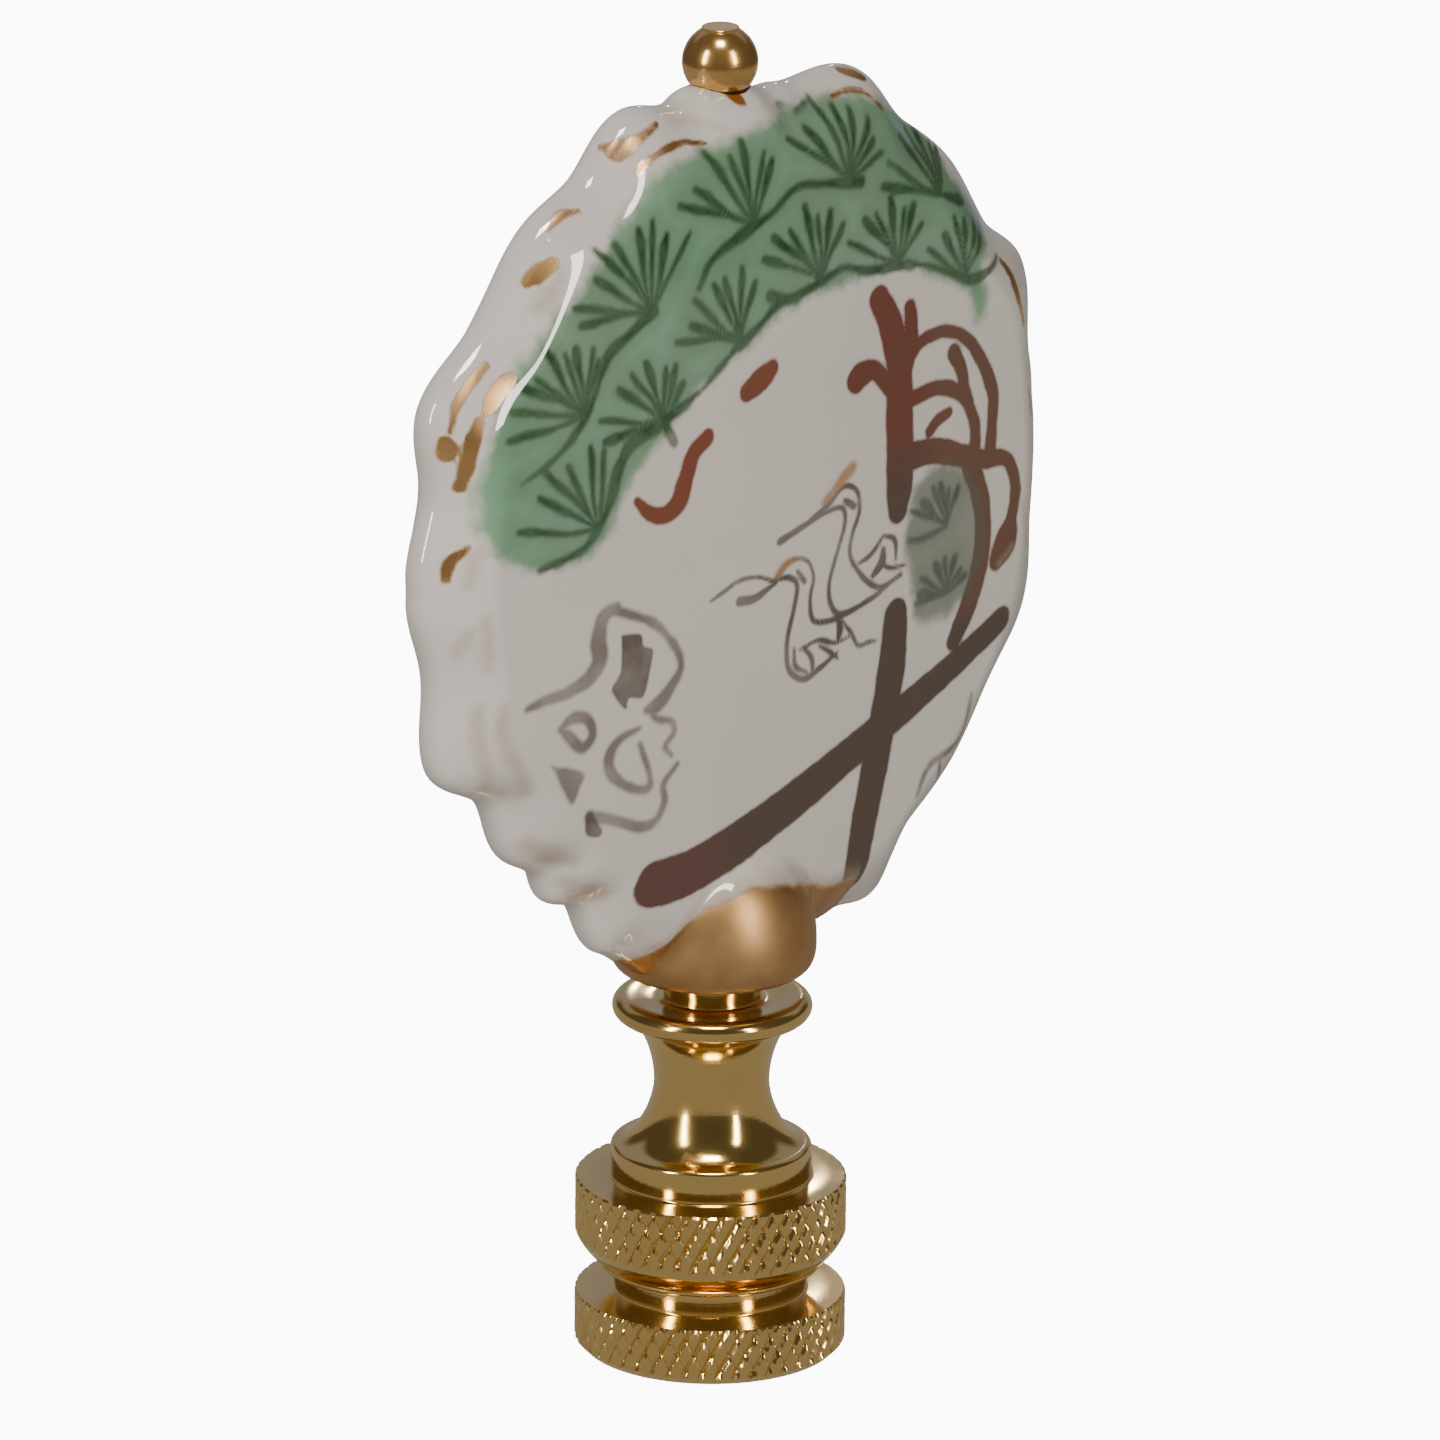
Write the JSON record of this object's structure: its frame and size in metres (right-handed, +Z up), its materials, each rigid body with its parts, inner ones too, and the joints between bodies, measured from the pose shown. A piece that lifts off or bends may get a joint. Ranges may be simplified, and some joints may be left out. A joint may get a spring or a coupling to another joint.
{
  "type": "porcelain medallion lamp finial",
  "caption": "Lamp finial with a round, scalloped, hand-painted porcelain medallion on a turned and knurled brass base, and a small brass ball on top.",
  "frame": {"origin": "on the turned axis, at the underside of the knurled brass base, where the finial stands", "axes": "+Z up along the turned axis to the ball; the medallion's painted face looks towards -Y, and its width runs along X"},
  "size_m": [0.0406, 0.0126, 0.0639],
  "materials": {
    "brass": "turned, knurled and polished brass with a light lacquer",
    "porcelain": "glossy white glaze with a green, brown and gilt painting"
  },
  "bodies": {
    "root": {"brass_base": "brass", "porcelain_medallion": "porcelain", "ball_cap": "brass"}
  },
  "joints": []
}
